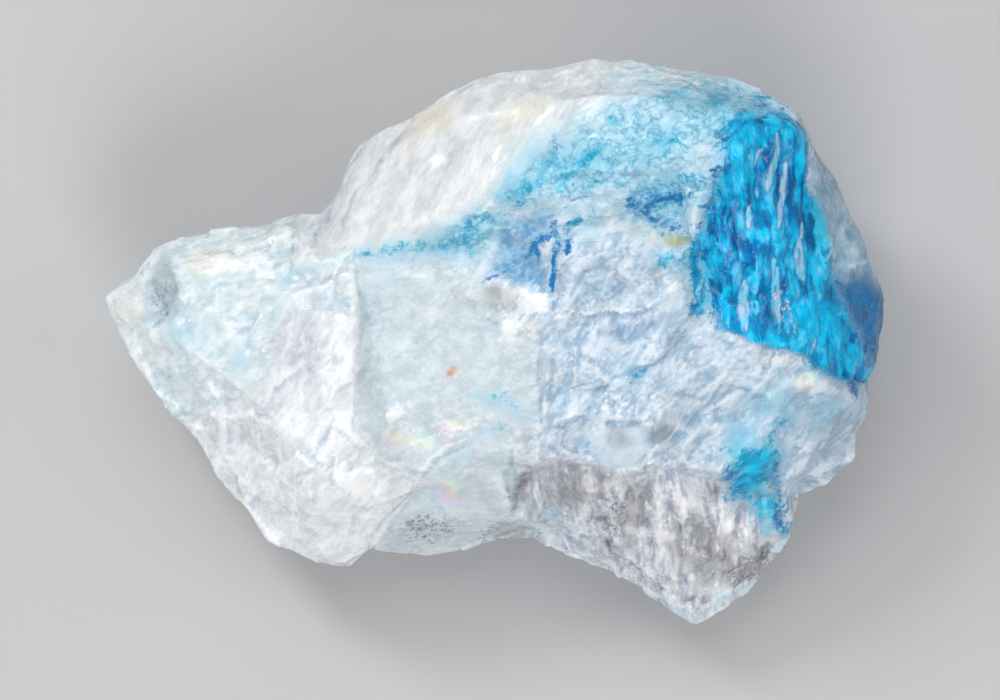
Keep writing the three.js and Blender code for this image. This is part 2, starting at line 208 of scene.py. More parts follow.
# %% Outline the kinds of surface
ZONES = {
    "dome": [
        (-12, 4.5), (-11, 9), (-7, 13.5), (0, 17.5), (8, 18), (5.5, 14.3), (1.4, 9.8), (-3, 6.3),
        (-7.5, 5.4),
    ],
    "shoulder": [
        (-3, 6.3), (1.4, 9.8), (5.5, 14.3), (8, 18), (19, 15), (18.2, 12.4), (14.2, 11.8),
        (12.4, 9), (12, 2.3), (9, 7), (3.5, 6), (-2, 4.5),
    ],
    "fluted": [
        (13.4, 11.9), (14.6, 13.8), (19.5, 14), (20, 9.7), (21, 6.6), (23, 4), (26, -1),
        (26, -5), (20, -5), (17.6, -3), (15.5, -2), (13.2, 0.2), (12.5, 4.5), (12.5, 8),
    ],
    "side": [(18.4, 14), (18.3, 9.7), (19, 6.6), (20.2, 4), (22, 0), (24.5, 1), (24.5, 8)],
    "frosted": [
        (2.4, 5.4), (9, 6.6), (12, 2.3), (15.7, 0), (18.7, -1.4), (22.5, -2.6), (22.5, -7.5),
        (18, -9), (14, -8), (9, -7.4), (3, -6.8), (2.4, -3),
    ],
    "foot": [
        (2.4, -6.8), (9, -7.2), (13.6, -8.4), (17, -9.5), (18.5, -12), (12, -17.5), (1.2, -12.4),
    ],
    "plate": [
        (-8.3, 4.6), (-2.2, 4.9), (0, 1.4), (2.6, -1), (2.6, -6.6), (1.6, -12.4), (-8, -13.4),
        (-5, -8.4), (-8.3, -4.9),
    ],
    "knob": [
        (-8.3, 1.6), (-8.3, -4.9), (-4.9, -8.6), (-7.9, -12.6), (-10, -14.4), (-15, -12.6),
        (-19, -5), (-13.5, -2), (-12, 1.8),
    ],
    "lobe": [
        (-12, 4.5), (-12, 8.6), (-19, 7), (-24.5, 3), (-19, -5), (-13.5, -2), (-12, 1.8),
    ],
}
# The fluted face stops sharply at ledges to the right and below.
LEDGES = [
    (8, 13), (12, 16), (17.2, 13.8), (18.4, 12.6), (18.2, 9.6), (19, 6.6), (20.1, 3.8),
    (21.7, 1.6), (24, -1), (24, -2.6), (20, -1.9), (18.4, -0.6), (15.7, 0), (13.6, 0.9),
    (12.6, 0.5), (8, 3),
]
print("kinds of surface", len(ZONES))

# %% [markdown]
# ## Windows into the stone
# Here and there a flat break is smooth enough to look into. Such a pane shows the tone of the stone
# behind it, without the crumbs and chips of the skin round it. Most panes have a clear rim, and the
# ones that lie deeper fade out. One grey pane is a facet turned from the light, and its grey is
# painted shade.

# %% Outline the windows
PANES = {
    "blue_pane": [
        [
            (-0.7, 3.9), (0.1, 5.3), (-0.1, 6.2), (0.4, 7.2), (1.9, 7.6), (3.5, 8.0), (3.3, 6.6),
            (2.2, 5.8), (3.0, 4.6), (3.1, 3.3), (1.5, 3.4), (0.4, 4.0),
        ],
    ],
    "pale_pane": [
        [(5.8, -5.2), (7.4, -4.9), (9.2, -4.7), (9.1, -6.0), (8.3, -7.5), (6.5, -7.5), (5.5, -6.6)],
        [(8.4, 2.4), (10.2, 3.4), (11.8, 3.9), (12.0, 2.6), (10.6, 1.7)],
    ],
    "dusk_pane": [
        [
            (20.0, 3.6), (21.4, 4.3), (22.4, 4.2), (24.5, 2.4), (24.5, -1.6), (22.3, -1.4),
            (21.7, 0.0), (20.7, 1.9),
        ],
    ],
    # The first outline is a facet turned from the light, its grey painted shade; the second is a
    # grey window at the lobe's tip.
    "grey_and_shaded_pane": [
        [(9.3, -4.2), (10.7, -3.9), (10.2, -5.4), (9.2, -6.6), (8.4, -7.5), (9.0, -6.0)],
        [(-21.4, 1.2), (-20.9, 4.2), (-19.6, 4.8), (-18.7, 3.2), (-19.6, 1.4)],
    ],
}
# mm outside and inside a pane's outline over which it comes in
CLEAR_RIM = (-0.12, 0.28)
SOFT_RIMS = {"blue_pane": (-0.35, 0.45), "grey_and_shaded_pane": (-0.35, 0.45), "dusk_pane": (-0.5, 0.9)}
print("windows", sum(len(lines) for lines in PANES.values()))

# %% [markdown]
# ## How far each point belongs to each kind
# Every point gets a share from 0 to 1 for each outline. The kinds of surface pass into each other
# over a millimetre or more, so their outlines may wander a lot. The windows are small and would
# be torn up by that, so they are measured from points that have moved only a little.

# %% Work out the shares
BLEND = 1.2  # mm to either side of an outline over which a kind of surface fades out
OTHER_BLENDS = {"knob": 0.4, "foot": 2.0}
LEDGE_RIM = (-0.2, 0.25)  # mm

rest = rows_of(crystal.data.vertices, "co") / MM  # the points in mm
wandering = pushed(pushed(rest, size=3.0, reach=0.5, shift=5.0), size=1.0, reach=0.22, shift=17.0)
steady = pushed(rest, size=0.9, reach=0.16, shift=57.0)
pane = {}
for name, lines in PANES.items():
    depth = np.max([depth_inside(steady, line) for line in lines], axis=0)
    pane[name] = soft_step(depth, *SOFT_RIMS.get(name, CLEAR_RIM))
zone = {}
for name, line in ZONES.items():
    fade = OTHER_BLENDS.get(name, BLEND)
    zone[name] = soft_step(depth_inside(wandering, line), -fade, fade)
zone["fluted"] *= soft_step(depth_inside(steady, LEDGES), *LEDGE_RIM)
for name, share in zone.items():
    print(name, round(float(share.mean()), 3))

# %% [markdown]
# ## Smooth kinds of surface
# The solid is faceted, but the dome and the plate are worn or broken smooth. A smoothing brush
# moves each point to the middle of its neighbours. The same is done here a few times over, and
# each kind of surface goes its own share of the way, so that the knob keeps most of its facets.

# %% Even out the smooth kinds of surface
def evened(mesh, points, rounds):
    """The points with each one moved to the middle of its neighbours, several times over."""
    ends = np.empty(len(mesh.edges) * 2, np.int64)
    mesh.edges.foreach_get("vertices", ends)
    a, b = ends.reshape(-1, 2).T
    number = np.bincount(ends, minlength=len(points))[:, None]
    for _ in range(rounds):
        total = np.zeros_like(points)
        np.add.at(total, a, points[b])
        np.add.at(total, b, points[a])
        points = total / number
    return points


EVENING_ROUNDS, RIDGE_ROUNDS = 14, 4
SOFTENED = {"dome": 0.85, "plate": 0.55, "side": 0.6, "knob": 0.3}  # share of the way to even
FOOT_SEAM = [(1.8, -6.6), (8.0, -7.2), (14.0, -8.2)]
SEAM_WIDTH = 5.0  # mm

softness = sum(share * zone[name] for name, share in SOFTENED.items())
softness = np.maximum(softness, path_mark(rest, FOOT_SEAM, SEAM_WIDTH, blunt=True))
softness = np.clip(softness, 0, 1)[:, None]
evened_skin = evened(crystal.data, rest, EVENING_ROUNDS)
base = rest + (evened_skin - rest) * softness
print("evening moves the skin by up to", round(float(np.abs(base - rest).max()), 2), "mm")
put_points(crystal.data, base)
outward = rows_of(crystal.data.vertex_normals, "vector")

# %% [markdown]
# ## Breakage
# When such a stone breaks, the crack runs flat for a while, jumps to another level and runs flat
# again. Smooth noise gives hills, not breaks. So space is split into cells round random points,
# and each cell gets its own small tilted plane: inside a cell the skin is flat, and at its edge
# it steps. Stretching the cells along the grain gives the long splinters of the frosted block
# and the foot. The relief fades out close to the ground, so that the stone still rests flat.

# %% Work out a skin of tilted chips
LEAN_SPREAD, LEVEL_SPREAD = 31.7, 53.9  # far enough apart for each cell to draw its own numbers


def chips(points, size, tilt, step, turn=0, stretch=1, shift=0.0):
    """Heights in mm of a skin of flat chips size mm across, tilted and stepped at random."""
    spots = (along_grain(points, turn, stretch) + shift) / size
    heights = np.empty(len(points))
    for i, p in enumerate(spots.tolist()):
        spot = Vector(p)
        centre = noise.voronoi(spot)[1][0]
        lean = noise.cell_vector(centre * LEAN_SPREAD)
        level = noise.cell(centre * LEVEL_SPREAD)
        heights[i] = (spot - centre).dot(lean * 2 - Vector((1, 1, 1))) * tilt + level * step
    return heights


# How strong the relief is, and how much more or less of it each kind of surface has.
USUAL_RELIEF, LEAST_RELIEF = 0.46, 0.14
MORE_RELIEF = {
    "plate": -0.30, "dome": -0.26, "side": -0.2, "knob": 0.06, "foot": 0.14, "fluted": 0.04,
    "frosted": -0.16,
}
hackly = USUAL_RELIEF
for name, more in MORE_RELIEF.items():
    hackly = hackly + more * zone[name]
flat = np.max([share for name, share in pane.items() if name != "dusk_pane"], axis=0)
hackly = np.clip(hackly, LEAST_RELIEF, 1) * (1 - 0.75 * flat)
print("relief strength", round(float(hackly.min()), 2), "to", round(float(hackly.max()), 2))

# %% [markdown]
# ## Big chips, small chips
# A break shows the same thing twice: chips a few millimetres across, and on them smaller ones
# with a quarter of the height. Each grain has its own set of both. On the dome, the shoulder and
# the frosted block they lie slantwise, on the flutes and the foot upright, and elsewhere they
# have no direction. The knob and the lobe are silky and have few of the small ones.

# %% Break the skin
RESTING_BAND = (0.15, 1.6)  # mm above the ground over which the relief comes in

silky = 1 - 0.6 * np.clip(zone["knob"] + zone["lobe"], 0, 1)
diagonal = np.clip(zone["frosted"] + 0.5 * zone["shoulder"] + 0.5 * zone["dome"], 0, 1)
upright = np.clip(zone["fluted"] + zone["foot"], 0, 1)
plain = np.clip(1 - diagonal - upright, 0, 1)
# Each set: mm across, tilt, mm of step, and for a grain its turn in degrees and its stretch.
relief = hackly * (
    plain * chips(rest, 2.6, 0.34, 0.16, shift=3.0)
    + diagonal * chips(rest, 2.0, 0.30, 0.20, turn=42, stretch=2.4, shift=7.0)
    + upright * chips(rest, 1.3, 0.30, 0.22, turn=96, stretch=4.5, shift=13.0)
)
fine = hackly * silky * (
    plain * chips(rest, 0.95, 0.10, 0.06, shift=23.0)
    + diagonal * chips(rest, 0.8, 0.10, 0.09, turn=48, stretch=2.2, shift=27.0)
    + upright * chips(rest, 0.75, 0.10, 0.10, turn=94, stretch=3.4, shift=31.0)
)
print("relief", round(float(relief.min()), 2), "to", round(float(relief.max()), 2), "mm")

settled = soft_step(rest[:, 2], *RESTING_BAND)
carved = base + outward * (settled * (relief + fine))[:, None]
carved[:, 2] = np.maximum(carved[:, 2], 0)
carved = np.clip(carved, np.array(cad_low) / MM, np.array(cad_high) / MM)
put_points(crystal.data, carved)
for face in crystal.data.polygons:
    face.use_smooth = True

# A ridge stands proud of the evened skin and a crease lies under it.
off_even = carved - evened(crystal.data, carved, RIDGE_ROUNDS)
ridge = (off_even * rows_of(crystal.data.vertex_normals, "vector")).sum(axis=1)
print("ridges stand", round(float(np.percentile(ridge, 95)), 3), "mm proud")

# %% [markdown]
# ## Where the colour lies
# The blue is strongest down the steep fluted face. From there a vein runs out to the left over
# the dome's foot, and flecks are strewn over the shoulder. Veins, the painted shade in creases,
# the painted highlight on edges and the lens-shaped flutes are lines, so each one is a short path
# with a width and a strength. Most are pointed: they thin at both ends, as a crack does.

# %% Draw the paths of colour
BLUNT = True
# name: [(path, width in mm, strength)], and BLUNT after the strength for a path that isn't pointed
PATHS = {
    "wash": [
        ([(-9, 5), (-5.6, 5.4), (-3.1, 5.6)], 3, 0.75),
        ([(-4.6, 5.6), (-1.9, 6.3), (0.6, 7.6)], 4.4, 0.95),
        ([(0.4, 8.6), (2.6, 10.2), (5.6, 10.8), (9, 11)], 6.4, 1.1),
        ([(9.6, 5.4), (12.4, 4.6), (12.6, 2.6)], 4, 0.85),
        ([(14, -4.6), (15.6, -6.8), (16.6, -11.2)], 5.6, 0.95),
        ([(-1.4, -2.8), (2.2, -4.6)], 2.2, 0.55),
        ([(-2.4, -5.6), (1.4, -4.6)], 1.4, 0.5),
        ([(-14.2, 2.6), (-11.6, 4.4), (-8.6, 5)], 1.8, 0.5),
        ([(2.2, -11.6), (6, -13.4), (9.6, -15.2), (12.2, -16.6)], 2.2, 0.5, BLUNT),
        ([(12.6, -16.2), (15.2, -14.8), (17.2, -12.4)], 1.6, 0.45, BLUNT),
    ],
    "cyan": [
        ([(-8.4, 5.1), (-5.6, 5.5), (-3.1, 5.7)], 1.7, 0.56),
        ([(-4.6, 5.5), (-3, 6), (-1.9, 6.4), (-0.4, 7.4)], 2.4, 0.56, BLUNT),
        ([(-1.9, 6.1), (-1.6, 7.2), (-0.7, 7.9), (0.2, 7.2)], 1.3, 0.76, BLUNT),
        ([(-1.9, 6.2), (-1.5, 5.7), (-1.3, 4.9)], 0.7, 0.9),
        ([(1.2, 8.4), (2.6, 9.8), (2.7, 10.5), (3.6, 11.8)], 1.6, 0.7, BLUNT),
        ([(3.6, 9.2), (4.6, 10.6), (5.8, 11.2)], 1.5, 0.74, BLUNT),
        ([(5, 9.1), (5.9, 9.6), (7.6, 9.4)], 1.1, 0.7, BLUNT),
        ([(4, 6.7), (4.9, 7.4)], 0.8, 0.9, BLUNT),
        ([(-0.6, 3.8), (0.2, 4.5)], 0.35, 0.8),
        ([(3.4, 5.4), (3.25, 2.7)], 0.6, 1.2),
        ([(12, 5.7), (12.2, 3.9), (12, 2.6), (11.7, 1.9)], 1.6, 1.05, BLUNT),
        ([(18.6, 8.4), (19.5, 4.8), (21.3, 0.8)], 2.4, 1.2, BLUNT),
    ],
    "deep": [
        ([(3.5, 7.3), (3.7, 6.2), (3.5, 4.8)], 1.4, 0.9),
        ([(3.5, 5.6), (3.45, 4.2), (3.3, 2.9)], 0.7, 1.25),
        ([(3.4, 6.5), (2.5, 6), (1.8, 5)], 1.2, 1),
        ([(2.5, 5.9), (2.6, 4.5)], 0.6, 1),
        ([(4.3, 7.2), (4.2, 5.4)], 1.3, 0.85),
        ([(3.4, 7.4), (4.5, 8.4), (5.6, 8.8)], 0.3, 0.9),
        ([(1.9, 5.4), (0.4, 4.2), (-0.8, 3.6)], 0.35, 0.8),
        ([(8.9, 8), (9.3, 8.8), (11.1, 8.7)], 2, 0.74, BLUNT),
        ([(7.9, 8.2), (9.2, 7.3), (10.9, 6.8)], 1.6, 0.76, BLUNT),
        ([(12, 3.1), (11.8, 2.2), (11.4, 1.6)], 0.9, 0.75),
        ([(9, -1.2), (8, -2.2)], 0.7, 0.72),
        ([(15.2, 11.6), (15.5, 9.6), (15.1, 8.4)], 1, 0.8),
        ([(16.5, 11.5), (16.7, 9.8), (16.3, 8.8)], 0.9, 0.8),
        ([(14, 6), (15, 5.2), (15.6, 5.8)], 2.2, 0.9, BLUNT),
        ([(15.6, 4.8), (15.8, 2.4), (15.9, 0.2)], 1.3, 1.1),
        ([(15, 4.4), (15.2, 2.2)], 0.9, 0.9),
        ([(17.3, 9.4), (17.6, 7.6)], 2, 1, BLUNT),
        ([(17.2, 6.4), (17.2, 4.4), (16.8, 2.6)], 1.1, 0.7),
        ([(20.2, 4.2), (20.9, 3.2), (21.8, 1.4)], 1.4, 0.85),
        ([(19, 0.2), (20.6, -1.4), (22.4, -2.4)], 1.8, 0.66, BLUNT),
        ([(21.2, -2), (21.6, -3)], 1.2, 0.95, BLUNT),
        ([(16.8, -7.2), (17, -9), (17.2, -10.8)], 1.3, 0.7, BLUNT),
    ],
    # Painted shade: dark blue-grey lines along creases and steps.
    "crease": [
        ([(4, 2.1), (6, 1.6), (8.6, 1.7), (11.2, 3.6)], 0.6, 0.9),
        ([(8.8, 1.8), (10.4, 2.2), (11.7, 3)], 0.8, 0.8),
        ([(11.8, 2.2), (10.9, 1), (9.7, -0.6), (8.2, -1.9)], 0.45, 1.1),
        # A wide band of painted shade under the ledge of the frosted block.
        ([(4.6, 1.2), (7.4, 0.6), (10.2, 1.5), (11.6, 2.5)], 2.2, 0.6),
        ([(3.3, 5.6), (3.9, 3.6), (2.6, 0.6), (2.3, -2), (2.7, -4.6)], 0.5, 0.8),
        ([(6.3, -2.8), (7.8, -2.1), (9.6, -0.6)], 0.5, 0.8),
        ([(9, -5.9), (9.9, -4.6), (10.2, -4)], 1.1, 0.9),
        ([(18.2, 12.5), (18.2, 9.7), (18.8, 6.6), (19.8, 4)], 0.5, 0.9, BLUNT),
        ([(0.9, -5.8), (1.3, -9.4)], 0.5, 0.9),
        ([(-5.1, -8.7), (-6.6, -10.6), (-7.8, -12.4)], 0.5, 0.7),
        ([(-2.6, 4.9), (-1.8, 3.2), (-0.6, 1.6), (2, 0.2)], 0.5, 0.6),
        ([(-12, 7.6), (-12.2, 5.4), (-11.6, 4)], 0.6, 0.6),
        ([(2.4, -6.4), (2.8, -9.2), (4.4, -11)], 0.5, 0.6),
        ([(-19.7, 4.8), (-18.8, 3.2), (-19.6, 2), (-20.7, 1)], 0.7, 0.9),
        ([(-20.6, 4.4), (-20.2, 3), (-19.4, 2.2)], 0.5, 0.8),
        ([(-11, -7), (-9.6, -4.9), (-7.9, -6.2)], 0.5, 0.6),
        ([(-7.4, 12.6), (-9.4, 9.4), (-11.2, 5.4)], 0.6, 0.7),
        ([(-6.2, 11.8), (-8.6, 8.4), (-10, 5.6)], 0.6, 0.6),
        ([(-4.4, 13.8), (-6.6, 11.2)], 0.5, 0.6),
        ([(2.5, 1.8), (2.7, -1.4), (2.6, -4.2)], 0.6, 0.9),
        ([(-12.6, -8), (-10.2, -7.2), (-8.2, -9.6)], 0.6, 0.6),
        ([(-5, -8.5), (-3.2, -7), (-1.6, -5.8)], 0.6, 0.8),
    ],
    # Painted shade: dark lines in pits and gaps.
    "pit": [
        ([(2.1, -7.4), (1.5, -8.8), (1, -10)], 1.3, 1.4),
        ([(6.6, -9.8), (6.9, -12.6)], 0.5, 0.7),
        ([(10.3, -9.2), (10.2, -11.2)], 0.35, 0.8),
        ([(11, -9.4), (11.1, -12)], 0.35, 0.8),
        ([(13.8, -12), (13.6, -14.4)], 0.4, 0.8),
        ([(14, -13.6), (16.2, -12.9)], 0.35, 0.9),
        ([(8.6, -12.4), (8.8, -14.2)], 0.5, 0.6),
    ],
    # Painted highlight: white lines along the edges of steps and chips.
    "edge": [
        ([(-8.3, 1.4), (-8.4, -2), (-8.6, -4.8)], 0.7, 0.9),
        ([(-8.4, -5.2), (-6.4, -6.8), (-5, -8.4)], 0.7, 0.9),
        ([(-5, -8.8), (-6.4, -10.8), (-7.8, -12.6)], 0.8, 1),
        ([(2.6, -4.8), (2.8, -6.2), (2, -7.4)], 0.6, 1),
        ([(-5.1, -8.2), (-3.4, -6.6), (-1.4, -5.2)], 0.5, 0.9),
        ([(-6.6, -4.2), (-4.4, -5), (-2, -4.6)], 0.4, 0.7),
        ([(-5.6, -5.8), (-3.6, -5.4), (-1.6, -4.9)], 0.35, 0.7),
        ([(4, 2.3), (6, 1.9), (8.6, 2), (10.6, 3.2)], 0.5, 0.9),
        ([(2.6, -11.6), (6, -13.2), (9.6, -15), (12.2, -16.2)], 0.9, 0.8, BLUNT),
        ([(12.6, -16), (15.2, -14.4), (17, -12.4)], 0.8, 0.8, BLUNT),
        ([(4.2, -3), (4.8, -1.2), (4.6, 0.4)], 0.5, 0.8),
        ([(9.4, -6.4), (10.6, -5.2), (11, -4.4)], 0.5, 0.9),
        ([(16.2, 3), (16.9, 2), (17.4, 0.6)], 0.4, 0.8),
        ([(17, 3.2), (17.4, 2.2), (17.9, 1.2)], 0.4, 0.7),
        ([(14, -14), (15.2, -13), (16.2, -11.6)], 0.5, 0.8),
    ],
    "lens": [
        ([(16.5, 12.3), (16.3, 10.4), (15.9, 8.9)], 0.7, 1),
        ([(17.1, 10.9), (16.9, 8.8), (16.4, 6.6)], 0.55, 1),
        ([(15.5, 11.4), (15.2, 10.3)], 0.45, 0.8),
        ([(15.4, 9.4), (15.3, 8.6)], 0.4, 0.8),
        ([(15, 8.2), (14.8, 6.8)], 0.45, 0.8),
        ([(18, 7.2), (18.1, 6.3)], 0.4, 0.8),
        ([(17.9, 6.4), (18, 5), (18.2, 3.6)], 0.9, 1),
        ([(16.3, 5.2), (16.5, 4), (16.6, 2.2), (16.8, 0.9)], 0.8, 1),
        ([(14.7, 3.8), (14.6, 2.2), (14.8, 0.6)], 0.85, 1),
        ([(17.3, 2.2), (17.6, 1.3), (17.9, 0.4)], 0.35, 0.8),
        ([(18.6, -0.6), (19, 0.4)], 0.4, 0.7),
        ([(12.1, 3.9), (12, 2.8)], 0.6, 0.7),
    ],
}
print("paths", sum(len(group) for group in PATHS.values()))

# %% [markdown]
# ## Patches
# Where the stone holds a patch and not a line, an oval with a soft rim is enough. A strong one
# fills out, and a weak one breaks up into scattered flecks once the finish sets fine noise
# against it.

# %% Set the spots of colour
# name: [(centre, (radius along, radius across), degrees, strength)]
SPOTS = {
    "wash": [
        ((13, 14), (6.4, 3.6), -10, 1.25), ((9.6, 12), (5, 3.2), 10, 1.15),
        ((9.8, 8.8), (4.2, 3.2), 0, 1.15), ((18.7, 1.2), (2.2, 2.2), 0, 0.5),
        ((5.4, 7.4), (2.6, 1.4), 30, 0.6), ((13.6, 3.4), (2.6, 3), 0, 0.85),
        ((7.6, 13.2), (3.2, 1.8), 10, 0.75), ((-18.6, 0.8), (1.8, 1.8), 0, 0.6),
        ((-15.4, -0.8), (2, 1.2), 60, 0.5), ((8.4, -1.9), (1.8, 1.2), 45, 0.55),
        ((16.6, -3.6), (3, 2), 0, 0.75), ((-6, 3.4), (3, 1.4), 0, 0.3),
        ((22, -4), (1.8, 2.6), 0, 0.45), ((3.6, -10.6), (3.4, 1.2), -28, 0.5),
        ((-1.8, -6.8), (1.6, 1.2), 40, 0.35), ((20, -4), (2.4, 2.4), 0, 0.7),
    ],
    "cyan": [
        ((14.9, 12.4), (2.4, 2), 0, 1.7), ((16.7, 13.2), (1.4, 1.2), 0, 1.3),
        ((14.4, 10.4), (2.2, 2), 90, 1.5), ((13.4, 9.2), (2, 1.8), 90, 1.1),
        ((19.4, 1.6), (4.2, 3.2), 120, 1.8), ((20.6, -0.8), (3.4, 2.2), 0, 1.6),
        ((10, 11.8), (1.6, 1.2), 20, 0.8), ((13, 14.5), (1.4, 0.9), 0, 0.95),
        ((15.5, 14.6), (1.3, 0.8), 0, 0.95), ((10.2, 14.7), (2.4, 0.8), 8, 0.74),
        ((8.4, 13.8), (1.6, 1), 30, 0.66), ((7.1, 12.6), (1.7, 0.9), 10, 0.8),
        ((12, 15.3), (2.2, 0.9), 0, 0.66), ((8.1, 10.4), (0.7, 1), 0, 0.8),
        ((11.6, 9.8), (1.8, 1.2), 0, 0.8), ((12.8, 5.8), (2.2, 2.4), 0, 1),
        ((13.2, 8.4), (1.8, 2.6), 0, 1.1), ((13.2, 3.2), (2.2, 2.4), 0, 0.72),
        ((10.5, 5.2), (1.6, 1.2), 0, 0.84),
        ((15.4, -7.4), (3.2, 2.6), 60, 1.4), ((16.4, -9.6), (2, 2.6), 0, 1.1),
        ((17.6, -11.4), (1.2, 1.3), 0, 0.9), ((17.2, -4.6), (2, 1.4), 0, 0.62),
        ((8.4, -1.9), (0.9, 0.7), 45, 0.85), ((9.6, 8.6), (2.2, 1.6), 0, 0.8),
        ((0.4, -3.4), (2.4, 0.9), -20, 0.48), ((0.6, -4.9), (1.6, 0.6), -20, 0.52),
    ],
    "deep": [
        ((13.6, 7.4), (1.8, 2.2), 90, 0.9), ((13.8, 5.4), (1.4, 1.4), 0, 0.66),
        ((14.2, -7.8), (1.2, 1.3), 0, 0.9), ((22.4, -1.6), (1, 1.6), 0, 0.8),
        ((16.6, -8), (1.3, 1.5), 0, 0.64), ((14.8, 7.8), (1.6, 2.6), 90, 0.6),
    ],
    "clear": [
        ((7.6, -5.8), (2.2, 1.3), 0, 1), ((1.4, 5.8), (2.8, 2.3), 0, 0.5),
        ((0.3, 3), (2, 1.4), 0, 0.9), ((-20, 3.2), (1.6, 2.6), 0, 0.9),
        ((4.6, -8.2), (3.4, 2.6), 0, 1.1), ((8, -9.8), (2.6, 3), 0, 0.9),
        ((12.4, -12.4), (3.4, 3.4), 0, 1), ((15.6, -12.6), (2, 2), 0, 1),
        ((9.6, -5.2), (1.2, 1.8), 60, 0.9), ((1.6, -8.6), (0.7, 1.8), 0, 1),
        ((0.6, -10.8), (1.6, 1.2), 0, 0.8),
    ],
    "smoke": [
        ((4.8, -8.6), (4.4, 3.6), -20, 1), ((7.4, -11.2), (2.2, 3), 0, 1),
        ((12.6, -9.2), (2.4, 1.8), 0, 0.8), ((12.4, -12.4), (1.8, 3), 0, 0.8),
        ((16.2, -12.2), (1.2, 2), 0, 1.1), ((14.8, -13.6), (1.8, 1.2), 0, 0.9),
        ((-11.4, -0.2), (2.6, 3.4), 0, 1), ((20.6, -4.6), (2.8, 2.8), 0, 1.3),
        ((-13.4, -3.4), (3, 2), 60, 0.9), ((-2.6, 11.2), (3.6, 1.8), 25, 0.55),
        ((-0.6, 13.2), (2, 1.2), 0, 0.5), ((-4, -10.9), (3.4, 1.6), 10, 0.95),
        ((1.6, -8.6), (0.6, 1.8), -8, 1.6), ((-5, -7.2), (1.6, 1.4), 0, 0.5),
        ((-1.6, 2.6), (1.8, 2.2), 0, 0.55), ((-6.8, 2.4), (2, 1.6), 0, 0.4),
        ((-9.6, 8.4), (0.8, 4.4), -24, 0.5), ((-12.4, 4.6), (0.8, 2), -20, 0.5),
        ((-21.4, 3), (1.6, 1.6), 0, 0.6),
    ],
    "rainbow": [
        ((18.6, -2.2), (1.2, 0.7), 30, 1.3), ((14.4, 1.2), (0.8, 1.4), 20, 1),
        ((15.4, 0.4), (0.9, 0.8), 0, 1), ((-2.8, -8.9), (2, 1.1), -10, 1),
        ((-4.6, -5.6), (2.4, 1.1), 15, 0.7), ((-2.4, -5), (1.8, 0.8), 10, 0.6),
        ((-0.4, 3.4), (1, 0.8), 0, 0.6), ((-17.2, 4.6), (1.6, 0.8), 0, 0.5),
    ],
    "cream": [
        ((-4, 13.3), (2.8, 1.4), 30, 0.9), ((1.2, 13.4), (2.8, 1.2), 20, 0.9),
        ((-5.4, 11.4), (1.3, 1.4), 0, 0.5), ((-21.6, 1.9), (1.5, 1.8), 0, 0.9),
        ((-16.8, 4.9), (2.2, 1), 0, 0.8), ((9.4, 6.7), (2.6, 0.9), 0, 0.8),
        ((-6, -5.4), (2.2, 1), 0, 0.6), ((-20.6, -0.4), (1.4, 1.2), 0, 0.6),
        ((2.2, 1), (0.9, 1.6), 0, 0.5),
    ],
    "rust": [
        ((-2.6, -1.7), (0.6, 0.38), 60, 1.4), ((-2.45, -1.5), (0.32, 0.32), 0, 1.2),
        ((-2.7, -0.5), (0.4, 0.3), 0, 0.7), ((-3.4, -2.9), (0.4, 0.4), 0, 0.5),
    ],
    "olive": [((11, 6.3), (1.6, 0.7), -10, 1.2)],
    # Painted shade: dark pits and hollows.
    "pit": [
        ((6.9, -11.7), (0.5, 1.1), 0, 1.1), ((9.3, -12), (0.7, 0.6), 0, 0.7),
        ((8, -9), (0.6, 0.8), 0, 0.8), ((16.3, -12.4), (0.6, 1), -20, 1.2),
        ((17, -10.5), (0.7, 0.8), 0, 1.1), ((11.6, -15.3), (0.7, 0.5), 40, 1),
        ((12.8, -12.3), (0.7, 1.8), 0, 0.7), ((11.7, -10.2), (1.2, 1.6), 0, 0.6),
        ((15, -14.2), (1.6, 0.9), 40, 0.8), ((6.4, -10.4), (1.4, 1.4), 0, 0.6),
        ((16.6, -8.2), (0.5, 0.9), 20, 0.9), ((13.2, -8.6), (0.6, 0.9), 0, 0.7),
        ((15.8, -12.2), (0.7, 1.4), 0, 0.7), ((-3.5, -11.1), (3.2, 1.1), 6, 0.5),
    ],
    "specks": [
        ((-4, -11), (2.2, 1.2), 20, 1.1), ((-0.4, -11.4), (1.6, 1), 10, 1),
        ((1.2, -11.2), (0.6, 0.7), 0, 1), ((7.2, -10.2), (1.2, 2.2), 0, 0.7),
        ((16.6, -8.2), (1.4, 1.6), 0, 0.9), ((-20, 2.6), (1, 1.8), 0, 0.8),
        ((15.4, -13.4), (1.6, 1.2), 40, 0.9),
    ],
    # White patches of the stone, and painted highlight on facets and along the top rim facing the
    # light.
    "bright": [
        ((2.4, 2.7), (1.7, 0.9), -8, 1.6), ((10.4, 15.6), (5, 1.6), -8, 0.55),
        ((0.6, 16.2), (4, 1.4), 0, 0.6), ((1, 1.4), (1.6, 1.6), 0, 1),
        ((-16, 5), (3.2, 1.1), 0, 1.1), ((-12.6, 6.3), (1.3, 0.8), 0, 0.9),
        ((-8, -8.2), (2.6, 1.8), -25, 1.2), ((-9.2, -1.5), (1.3, 4), 0, 0.55),
        ((-5.8, -3.9), (1, 0.8), 0, 0.9), ((10.4, 3.1), (1.2, 0.6), 25, 1),
        ((14.6, -12), (1.3, 1.8), 0, 0.9), ((9.2, -11.2), (1.5, 0.9), 0, 0.9),
        ((16.9, -0.9), (1.8, 0.8), -20, 0.9), ((19, -2.3), (1.8, 1), 0, 0.8),
        ((4.2, 16), (3, 1), 0, 0.7), ((-3.4, 10.8), (0.7, 0.6), 0, 1),
        ((5.6, 0.8), (0.9, 0.5), 20, 1), ((11, -9.6), (0.8, 2.4), 0, 0.9),
        ((13.4, -11), (1, 2.2), 0, 0.8), ((-2.4, -5), (3.4, 0.9), 12, 0.7),
        ((6.8, -4.2), (2.4, 1.2), 20, 0.7), ((8.8, -9.8), (1.6, 1.6), 0, 0.6),
    ],
}
print("spots", sum(len(group) for group in SPOTS.values()))
